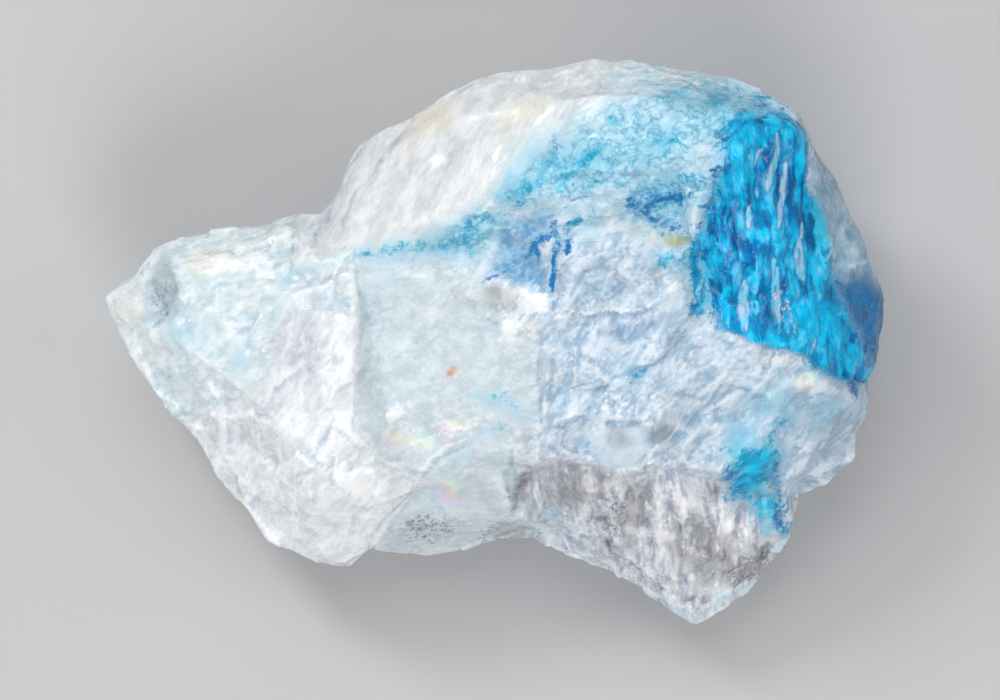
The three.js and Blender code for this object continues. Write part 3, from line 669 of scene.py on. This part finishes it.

# %% [markdown]
# ## From marks to numbers
# Each group of marks becomes one number for each point, and only the strongest mark counts, so
# that marks can overlap. Seen from above, every mark runs right through the stone. That is true
# of the blue in it, but not of what lies in the skin, such as the painted shade of a crease or a
# fleck of rust, so the skin's marks are taken off again where the stone faces down.

# %% Work out the marks
# Small marks are measured from the steady points, because wider wandering would tear them up.
STEADY = ("deep", "lens", "pit", "rust")
THROUGHOUT = ("wash", "cyan", "cream", "smoke", "clear")
FACING_DOWN = (-0.85, -0.35)  # height of the outward direction over which the skin's marks come in
FAR_RIM = (14.4, 16.4)  # mm from the middle, where the wash grows paler


def mark_on(thing, name, *values):
    """Keeps one number or three for each point on the mesh, for the finish to read."""
    kind, slot = ("FLOAT", "value") if len(values) == 1 else ("FLOAT_VECTOR", "vector")
    kept = thing.data.attributes.new(name, kind, "POINT")
    kept.data.foreach_set(slot, np.column_stack(values).astype(np.float32).ravel())


marks = {}
for name in sorted({*PATHS, *SPOTS}):
    total = np.zeros(len(rest))
    place = steady if name in STEADY else wandering
    for path, width, strength, *blunt in PATHS.get(name, []):
        total = np.maximum(total, strength * path_mark(place, path, width, *blunt))
    for centre, radii, turn, strength in SPOTS.get(name, []):
        total = np.maximum(total, strength * spot_mark(place, centre, radii, turn))
    marks[name] = total
marks["wash"] *= 1 - 0.5 * soft_step(rest[:, 1], *FAR_RIM)
upward = soft_step(outward[:, 2], *FACING_DOWN)
for name in marks:
    if name not in THROUGHOUT:
        marks[name] *= upward
for name in pane:
    pane[name] = pane[name] * upward
print("marks", sorted(marks))

# %% [markdown]
# ## The grain
# The stone splits along one direction in each of its blocks. Each point keeps a place counted
# along and across that direction, so one noise, read in those places, gives lines that lie
# slantwise on the frosted block and upright on the foot. Where two blocks meet, the lines jump,
# as they do at a real break. Slow changes, bigger than the mesh's own step, are worked out here
# too, once for each point, because a finish works out its noise again for every ray.

# %% Turn the grain in each kind of surface
# name: (degrees from east, how many times longer than wide)
GRAIN = {
    "dome": (62, 3.0), "shoulder": (28, 1.8), "fluted": (97, 5.0), "side": (104, 2.4),
    "frosted": (46, 2.0), "foot": (97, 6.5), "plate": (20, 1.6), "knob": (58, 2.2),
    "lobe": (22, 1.8),
}
swirled = pushed(rest, size=2.2, reach=0.30, shift=41.0)
strongest = np.argmax(np.column_stack([zone[name] for name in GRAIN]), axis=1)
grain_place = np.zeros_like(rest)
for index, (turn, stretch) in enumerate(GRAIN.values()):
    here = strongest == index
    grain_place[here] = (along_grain(swirled, turn, stretch) / (1, 1, math.sqrt(stretch)))[here]
mark_on(crystal, "grain", *grain_place.T)
cloud_now = 0.5 + 0.5 * swell(rest, size=2.6, shift=9.0, octaves=2)
mottle_now = 0.5 + 0.5 * swell(rest, size=0.9, shift=21.0, octaves=2)
# Clouds of deep blue lie behind the dusky window.
marks["deep"] = np.maximum(marks["deep"], pane["dusk_pane"] * (0.36 + 0.56 * cloud_now))
print("cloud", round(float(cloud_now.std()), 3), "mottle", round(float(mottle_now.std()), 3))

# %% [markdown]
# ## Cracks
# Fine cracks run through the frosted block, the foot and the shoulder. A crack lies halfway
# between two neighbouring random points, where both are as near, so the mesh keeps how much
# further off the second nearest point is. Where there are no cracks, that number is raised.

# %% Find the cracks
CRACKS_APART = 1.9  # mm, across the grain

from_cracks = np.empty(len(rest))
for i, p in enumerate((grain_place / CRACKS_APART).tolist()):
    nearest = noise.voronoi(Vector(p))[0]
    from_cracks[i] = nearest[1] - nearest[0]
frosty = np.clip(1.2 * zone["frosted"] + 0.9 * zone["foot"] + 0.9 * zone["shoulder"], 0, 1)
mark_on(crystal, "split", from_cracks + 1 - frosty)
print("on a crack", round(float((from_cracks < 0.1).mean()), 3), "of the points")

# %% [markdown]
# ## Writing a finish as sums
# A finish is a net of small nodes. Wiring dozens of them by hand is hard to read, so one class
# wraps a value inside the net and makes the Math node whenever two values are added, multiplied
# or compared. A second class makes every other node in one call: its settings first, then what
# goes into its sockets.

# %% A value that can be reckoned with, and a finish that makes nodes
class Reading:
    """A value inside a finish. Sums on it add the Math nodes that work them out."""

    def __init__(self, finish, socket):
        self.finish = finish
        self.socket = socket

    def maths(self, operation, *values):
        made = self.finish.node("ShaderNodeMath", {"operation": operation}, dict(enumerate(values)))
        return Reading(self.finish, made.outputs[0])

    def __add__(self, other):
        return self.maths("ADD", self, other)

    def __sub__(self, other):
        return self.maths("SUBTRACT", self, other)

    def __rsub__(self, other):
        return self.maths("SUBTRACT", other, self)

    def __mul__(self, other):
        return self.maths("MULTIPLY", self, other)

    def more(self, other):
        """The larger of two values."""
        return self.maths("MAXIMUM", self, other)

    def size(self):
        """The value without its sign."""
        return self.maths("ABSOLUTE", self)

    def speckled(self, grit, low, high):
        """A mark broken up by grit, and nothing where there is no mark."""
        return (self + grit).rise(low, high) * self.rise(0.0, 0.2)

    def rise(self, low, high):
        """0 below low, 1 above high, smooth between."""
        made = self.finish.node(
            "ShaderNodeMapRange",
            {"interpolation_type": "SMOOTHSTEP"},
            {"Value": self, "From Min": low, "From Max": high},
        )
        return Reading(self.finish, made.outputs["Result"])

    __radd__ = __add__
    __rmul__ = __mul__


class Finish:
    """A material, and short ways to add nodes to it."""

    def __init__(self, name):
        self.material = bpy.data.materials.new(name)
        self.material.use_nodes = True
        self.tree = self.material.node_tree
        self.tree.nodes.clear()
        self.place = self.node("ShaderNodeTexCoord").outputs["Object"]

    def node(self, kind, settings=None, inputs=None):
        made = self.tree.nodes.new(kind)
        for name, value in (settings or {}).items():
            setattr(made, name, value)
        for name, value in (inputs or {}).items():
            if isinstance(value, Reading):
                value = value.socket
            if isinstance(value, bpy.types.NodeSocket):
                self.tree.links.new(value, made.inputs[name])
            else:
                made.inputs[name].default_value = value
        return made

    def kept(self, name, output="Vector"):
        """What the mesh keeps for each point under a name."""
        return self.node("ShaderNodeAttribute", {"attribute_name": name}).outputs[output]

    def three(self, vector):
        """The three numbers of a vector."""
        parts = self.node("ShaderNodeSeparateXYZ", inputs={0: vector})
        return [Reading(self, part) for part in parts.outputs]

    def noise(self, place, size, detail=2.0, rough=0.5):
        """Cloudy values about 0.5, with humps size steps of the place across."""
        made = self.node(
            "ShaderNodeTexNoise",
            inputs={"Vector": place, "Scale": 1 / size, "Detail": detail, "Roughness": rough},
        )
        return Reading(self, made.outputs["Fac"])

    def vector_sum(self, operation, *values, **sockets):
        """What comes out of one sum with directions."""
        inputs = {**dict(enumerate(values)), **sockets}
        return self.node("ShaderNodeVectorMath", {"operation": operation}, inputs).outputs[0]

    def mix(self, share, under, over):
        """A colour between two, at share of the way from under to over."""
        made = self.node(
            "ShaderNodeMix",
            {"data_type": "RGBA"},
            {COLOUR_SHARE: share, COLOUR_UNDER: under, COLOUR_OVER: over},
        )
        return made.outputs[COLOUR_OUT]


COLOUR_SHARE, COLOUR_UNDER, COLOUR_OVER = 0, 6, 7  # the Mix node's sockets when it mixes colours
COLOUR_OUT = 2


def ink(red, green, blue):
    """A colour given on the usual scale of 0 to 255, as the light amounts that Blender wants."""
    shares = [v / 255 for v in (red, green, blue)]
    return (*[v / 12.92 if v <= 0.04045 else ((v + 0.055) / 1.055) ** 2.4 for v in shares], 1)


# %% [markdown]
# ## Tones from place to place
# Each kind of surface is a fine pattern of two tones, a darker and a lighter one. Where the zones
# blend, so do their tones. Smoke, cream, panes, olive, rust and rainbow then tint both tones;
# painted shade darkens creases, pits and a facet turned from the light, and a painted highlight
# whitens ridges. All of this changes slowly, so it is worked out once for each point and kept on
# the mesh, and the finish only has to choose between the two tones.

# %% The tones of each kind of surface
EUCLASE_IOR = 1.65
# name: (darker tone, lighter tone)
TONES = {
    "dome": (ink(208, 214, 217), ink(235, 238, 239)),
    "shoulder": (ink(168, 208, 228), ink(230, 240, 246)),
    "fluted": (ink(40, 138, 194), ink(190, 220, 238)),
    # The side face is blue, and its darker tones also hold painted shade of a face turned from the
    # light.
    "side": (ink(98, 150, 184), ink(152, 190, 213)),
    "frosted": (ink(140, 177, 205), ink(214, 228, 240)),
    "foot": (ink(158, 160, 176), ink(246, 247, 251)),
    "plate": (ink(190, 205, 213), ink(213, 225, 230)),
    "knob": (ink(222, 227, 233), ink(248, 249, 252)),
    "lobe": (ink(196, 217, 226), ink(232, 240, 242)),
}
BETWEEN = (ink(186, 204, 216), ink(228, 235, 240))  # where no kind of surface is marked
BETWEEN_WEIGHT = 0.15
WHITE = ink(254, 254, 254)

weights = np.column_stack([zone[name] for name in TONES] + [np.full(len(rest), BETWEEN_WEIGHT)])
weights /= weights.sum(axis=1, keepdims=True)
darker, lighter = (
    weights @ np.array([pair[place] for pair in (*TONES.values(), BETWEEN)])[:, :3]
    for place in (0, 1)
)


def broken(mark, grit, low, high):
    """A mark broken up by grit, and nothing where there is no mark."""
    return soft_step(mark + grit, low, high) * soft_step(mark, 0.0, 0.2)


def spectrum(turns, strength=0.34):
    """Pale rainbow colours, one row for each number of turns round the colour wheel."""
    apart = np.abs((turns[:, None] + np.array([0, 2 / 3, 1 / 3])) % 1 * 6 - 3) - 1
    return 1 - strength * (1 - np.clip(apart, 0, 1))


BANDS = (0.16, 0.34, 0.2)  # rainbow bands in a mm along X, Y and Z, across a thin crack

patchy, cloudy = mottle_now - 0.5, cloud_now - 0.5
rainbow = spectrum(rest @ BANDS + 0.8 * cloud_now)
# (share, its darker tone, its lighter tone), each laid over the ones before it
TINTS = (
    # Painted shade: creases lying below the evened skin are darkened blue-grey.
    (0.35 * soft_step(-ridge, 0.01, 0.07), ink(120, 160, 190), ink(170, 200, 220)),
    # Painted highlight: ridges proud of the evened skin are whitened, with some crushed whiteness.
    (0.4 * soft_step(ridge, 0.006, 0.06) * (1 - zone["fluted"]), WHITE, WHITE),
    (0.50 * broken(marks["smoke"], patchy, 0.0, 1.0), ink(140, 141, 156), ink(190, 191, 202)),
    (0.55 * broken(marks["cream"], 0.8 * cloudy, 0.0, 1.0), ink(236, 222, 192), ink(244, 236, 216)),
    # Painted shade along creases and steps.
    (0.48 * broken(marks["crease"], 0.4 * patchy, 0.2, 0.7), ink(62, 108, 146), ink(110, 150, 180)),
    (0.85 * pane["pale_pane"], ink(190, 209, 222), ink(206, 220, 230)),
    # Grey of a window, and painted shade on a facet turned from the light.
    (0.50 * pane["grey_and_shaded_pane"], ink(140, 172, 192), ink(172, 198, 212)),
    (0.90 * pane["blue_pane"], ink(62, 138, 190), ink(138, 192, 222)),
    (0.92 * pane["dusk_pane"], ink(0, 70, 132), ink(62, 128, 176)),
    # Painted shade in pits and gaps.
    (0.85 * broken(marks["pit"], 0.5 * patchy, 0.2, 0.8), ink(60, 68, 88), ink(186, 190, 200)),
    (0.85 * broken(marks["olive"], patchy, 0.1, 1.0), ink(136, 138, 48), ink(176, 172, 92)),
    (0.80 * broken(marks["rust"], patchy, 0.1, 1.3), ink(184, 92, 56), ink(222, 152, 112)),
    (0.50 * broken(marks["rainbow"], patchy, 0.0, 0.9), rainbow, rainbow),
)
for share, dark_over, light_over in TINTS:
    darker += (np.array(dark_over)[..., :3] - darker) * share[:, None]
    lighter += (np.array(light_over)[..., :3] - lighter) * share[:, None]

free = 1 - np.maximum(pane["blue_pane"], pane["dusk_pane"])  # the wash stops at these panes
wash_now = marks["wash"] * free
clear_now = broken(marks["clear"], cloudy, 0.10, 0.8)
mark_on(crystal, "darker", *darker.T)
mark_on(crystal, "lighter", *lighter.T)
mark_on(crystal, "blues", wash_now, marks["cyan"] * free, marks["deep"])
mark_on(crystal, "whites_and_highlights", marks["lens"], marks["bright"], marks["edge"])
mark_on(crystal, "skin", hackly / hackly.max(), mottle_now, zone["fluted"] * free)
mark_on(crystal, "inner", clear_now, marks["specks"], marks["wash"] * zone["shoulder"] * free)
print("tones from", darker.min(axis=0).round(3), "to", lighter.max(axis=0).round(3))

# %% [markdown]
# ## Colours laid one over the other
# The finish lays the colours on as a painter lays glazes: the two tones first, then the pale wash,
# the blues, the dark lines in them, and last the white patches, the painted highlights on edges and
# the painted glints. The inks come first, with the marks that the mesh keeps and four sizes of
# noise. Noise read along the grain draws a mark out into streaks, and noise read straight in space
# crumbles it.

# %% Inks, noises and marks
WASH = ink(112, 200, 228)
CYAN, BRIGHT_CYAN = ink(0, 140, 196), ink(0, 194, 242)
TEAL, BRIGHT_TEAL = ink(6, 146, 186), ink(40, 190, 226)
SPECK, CRACK = ink(84, 88, 108), ink(112, 146, 176)
DEEP_BLUE, DARKEST_BLUE = ink(0, 104, 170), ink(0, 68, 124)
LENS, PALE_CYAN = ink(176, 202, 226), ink(120, 212, 240)

stone = Finish("cloudy_euclase")
grain = stone.kept("grain")
splinter = stone.noise(grain, 0.7, detail=4, rough=0.62)
hair = stone.noise(grain, 0.26, detail=2, rough=0.5)
crumble = stone.noise(stone.place, 0.24 * MM, detail=3, rough=0.7)
net = stone.noise(stone.place, 0.9 * MM, detail=2, rough=0.6)
wash_mark, cyan_mark, deep_mark = stone.three(stone.kept("blues"))
lens_mark, bright_patch_and_highlight_mark, edge_highlight_mark = stone.three(stone.kept("whites_and_highlights"))
hackle, mottle, fluted_mark = stone.three(stone.kept("skin"))
clear_mark, speck_mark, net_mark = stone.three(stone.kept("inner"))
print("nodes so far", len(stone.tree.nodes))

# %% [markdown]
# ## The share of each layer
# Each layer's share is a mark with fine noise added, then cut off softly, so the same noise that
# frays one patch breaks a weaker one into crumbs. A mark needs some of both noises: grains for
# its crumbs and the drawn-out noise for its streaks.

# %% Break up the marks
pattern = 0.44 * splinter + 0.26 * hair + 0.17 * crumble + 0.13 * mottle
colour = stone.mix(
    pattern.rise(0.40, 0.60), stone.kept("darker", "Color"), stone.kept("lighter", "Color")
)

grains = (crumble - 0.5) * 4.4 + (mottle - 0.5) * 1.0  # crumbs of colour
drawn_out = (splinter - 0.5) * 3.2 + (hair - 0.5) * 1.6  # the same, drawn out along the grain
wash = wash_mark.speckled(0.2 * grains + 0.4 * drawn_out, 0.0, 1.15)
cyan = cyan_mark.more(0.85 * deep_mark).speckled(0.35 * grains + 0.35 * drawn_out, 0.30, 0.95)
threads = net_mark.rise(0.1, 0.7) * (net - 0.5 + 0.04 * grains).size().rise(0.07, 0.0)
steep_blue = fluted_mark.speckled(0.3 * grains + 0.45 * drawn_out, 0.10, 0.85)
deep = deep_mark.speckled(0.45 * drawn_out + 0.3 * grains, 0.30, 0.95)
dark_lines = steep_blue * (splinter + 0.25 * hair).rise(0.63, 0.78)
light_lines = steep_blue * (0.6 * splinter + 0.4 * hair).rise(0.46, 0.34)
lens = lens_mark.speckled(0.10 * grains + 0.12 * drawn_out, 0.10, 0.60)
lens_rim = lens_mark.rise(0.0, 0.12)
# Painted glints: tiny white highlights where the fine noise peaks.
painted_glint = crumble.rise(0.62, 0.70)
specks = speck_mark.rise(0.0, 0.5) * crumble.rise(0.48, 0.40)
from_crack = Reading(stone, stone.kept("split", "Fac")) + 0.3 * (crumble - 0.5)
cracks = from_crack.rise(0.11, 0.0) * splinter.rise(0.44, 0.56)
# White patches, partly painted highlight.
bright = bright_patch_and_highlight_mark.speckled(0.2 * grains + 0.5 * drawn_out, 0.20, 1.0)
# Painted highlight along the edges.
edge = edge_highlight_mark.speckled(0.3 * grains, 0.3, 0.7)
print("nodes so far", len(stone.tree.nodes))

# %% [markdown]
# ## Laying the layers
# Cyan and teal come in two tones each, so that no patch is flat. In whole patches of the
# brightest blue the lines across it are held back.

# %% Lay the layers
solid = cyan_mark.rise(0.9, 1.5)
blue_share = cyan.more(steep_blue).more(deep)
blue_tone = stone.mix(
    (0.4 * mottle + 0.6 * splinter).rise(0.38, 0.58) * (1 - 0.6 * solid), BRIGHT_CYAN, CYAN
)
teal_tone = stone.mix((0.5 * mottle + 0.5 * splinter).rise(0.40, 0.56), BRIGHT_TEAL, TEAL)
layers = (
    (cracks * 0.55, CRACK),
    (wash * 0.8, WASH),
    (threads * 0.6, TEAL),
    (cyan, teal_tone),
    (steep_blue.more(cyan * solid), blue_tone),
    (light_lines * (1 - 0.6 * solid) * 0.6, PALE_CYAN),
    (deep * 0.9, DEEP_BLUE),
    (dark_lines * (1 - 0.7 * solid) * 0.72, DARKEST_BLUE),
    (lens_rim * 0.45, DEEP_BLUE),
    (lens * (0.9 - 0.5 * hair.rise(0.50, 0.62)), stone.mix(mottle.rise(0.5, 0.7), LENS, PALE_CYAN)),
    # White patches with painted highlight, painted highlight on edges, and painted glints.
    (bright * 0.8, WHITE),
    (edge * 0.45, WHITE),
    (painted_glint * (1 - 0.7 * blue_share) * 0.5, WHITE),
    (specks * 0.7, SPECK),
)
for share, over in layers:
    colour = stone.mix(share, colour, over)
print("layers", len(layers))

# %% [markdown]
# ## Cloudy euclase
# The stone is lit from inside as much as from outside. Light goes in, meets the tiny cracks and
# comes out again white or blue. A plain white paint would look like plaster, and clear glass would
# look empty. So two surfaces are mixed: a milky one that scatters light under the skin and lets a
# little of it through, and a clear one, which comes in most at the sound windows and the foot.
# Both bend light as euclase does, and the inside takes a little red out of long paths. Small flat
# flakes, each with its own lean, make the skin glitter as the stone is turned.

# %% Lean the flakes
FLAKE = 0.42  # mm across the grain
flakes = stone.node("ShaderNodeTexVoronoi", inputs={"Vector": grain, "Scale": 1 / FLAKE})
flake_luck = stone.three(flakes.outputs["Color"])[0]
centred_luck = stone.vector_sum("SUBTRACT", flakes.outputs["Color"], (0.5, 0.5, 0.5))
flake_lean = stone.vector_sum("SCALE", centred_luck, Scale=0.06 + 0.44 * hackle)
straight_out = stone.node("ShaderNodeNewGeometry").outputs["Normal"]
leaning = stone.vector_sum("NORMALIZE", stone.vector_sum("ADD", straight_out, flake_lean))
relief_lines = stone.node(
    "ShaderNodeBump",
    inputs={"Strength": 0.5, "Distance": 0.16 * MM, "Height": splinter, "Normal": leaning},
)
print("nodes so far", len(stone.tree.nodes))

# %% Mix the milky and the clear surface
shared = {
    "Roughness": 0.46 - 0.24 * hackle - 0.12 * flake_luck.rise(0.55, 0.75),
    "IOR": EUCLASE_IOR,
    "Normal": relief_lines.outputs[0],
}
milky = stone.node(
    "ShaderNodeBsdfPrincipled",
    {"subsurface_method": "BURLEY"},
    {
        **shared,
        "Base Color": colour,
        "Transmission Weight": 0.05,
        "Specular IOR Level": 0.14,
        "Subsurface Weight": 0.5,
        "Subsurface Radius": (1.0, 1.1, 1.2),
        "Subsurface Scale": 0.8 * MM,
    },
)
sound = stone.node(
    "ShaderNodeBsdfPrincipled",
    inputs={
        **shared,
        "Base Color": stone.mix(0.72 - 0.72 * blue_share, colour, WHITE),
        "Transmission Weight": 0.75,
    },
)
sound_share = 0.14 * (1 - blue_share) + 0.5 * clear_mark
body = stone.node(
    "ShaderNodeMixShader",
    inputs={0: sound_share, 1: milky.outputs[0], 2: sound.outputs[0]},
)
INSIDE_TINT, INSIDE_DENSITY = (0.86, 0.95, 0.985, 1), 18.0  # density for each metre
inside = stone.node(
    "ShaderNodeVolumeAbsorption", inputs={"Color": INSIDE_TINT, "Density": INSIDE_DENSITY}
)
stone.node(
    "ShaderNodeOutputMaterial", inputs={"Surface": body.outputs[0], "Volume": inside.outputs[0]}
)
crystal.data.materials.clear()
crystal.data.materials.append(stone.material)
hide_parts(STONE)
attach(crystal, "root")
print("nodes in the finish", len(stone.tree.nodes))

# %% [markdown]
# ## A floor, soft light and a camera
# The stone lies on a plain pale card. Large lamps far away give soft light, so that the whites
# keep their tone. One smaller lamp at the back left draws the edges of the chips. The camera
# looks straight down from far off, which keeps the outline nearly free of perspective.

# %% Lay the floor
CARD = (0.46, 0.46, 0.47, 1)

floor_mesh = bpy.data.meshes.new("floor")
ground = bmesh.new()
bmesh.ops.create_grid(ground, x_segments=1, y_segments=1, size=2.0)
ground.to_mesh(floor_mesh)
ground.free()
floor = bpy.data.objects.new("floor", floor_mesh)
bpy.context.scene.collection.objects.link(floor)
floor_finish = bpy.data.materials.new("pale_card")
floor_finish.use_nodes = True
card = floor_finish.node_tree.nodes["Principled BSDF"]
card.inputs["Base Color"].default_value = CARD
card.inputs["Roughness"].default_value = 0.9
floor_mesh.materials.append(floor_finish)
print("floor", [round(v, 2) for v in floor.dimensions], "m")

# %% Hang the lamps
# name: (mm across, watts, place in mm)
LAMPS = {
    "key_light": (110, 0.90, (-220, 270, 290)),
    "top_light": (420, 1.28, (-40, 330, 520)),
    "front_light": (240, 0.96, (60, -320, 260)),
    "left_light": (240, 0.30, (-330, -120, 240)),
    "right_light": (240, 0.28, (330, 60, 260)),
}
ROOM_LIGHT = 0.265

for name, (size, watts, place) in LAMPS.items():
    data = bpy.data.lights.new(name, "AREA")
    data.shape = "SQUARE"
    data.size = size * MM
    data.energy = watts
    lamp = bpy.data.objects.new(name, data)
    lamp.location = Vector(place) * MM
    lamp.rotation_mode = "QUATERNION"
    lamp.rotation_quaternion = (Vector(place) * -1).to_track_quat("-Z", "Y")
    bpy.context.scene.collection.objects.link(lamp)

world = bpy.data.worlds.new("studio")
world.use_nodes = True
world.node_tree.nodes["Background"].inputs["Color"].default_value = (1, 1, 1, 1)
world.node_tree.nodes["Background"].inputs["Strength"].default_value = ROOM_LIGHT
bpy.context.scene.world = world
bpy.context.scene.view_settings.view_transform = "Standard"
print("lamps", len(LAMPS))

# %% Set up the camera
FIELD = 60.0  # mm that the camera sees from side to side
LOOK_AT = (0.3, -0.3, 8.0)  # mm, the middle of the view and the height of the widest outline
CAMERA_AWAY = 450.0  # mm
SENSOR = 36.0  # mm

eye = bpy.data.cameras.new("camera")
eye.sensor_width = SENSOR
eye.lens = SENSOR * CAMERA_AWAY / FIELD
eye.clip_start, eye.clip_end = 0.01, 10.0
camera = bpy.data.objects.new("camera", eye)
camera.location = (Vector(LOOK_AT) + Vector((0, 0, CAMERA_AWAY))) * MM
bpy.context.scene.collection.objects.link(camera)
bpy.context.scene.camera = camera
print("camera", round(eye.lens), "mm lens")
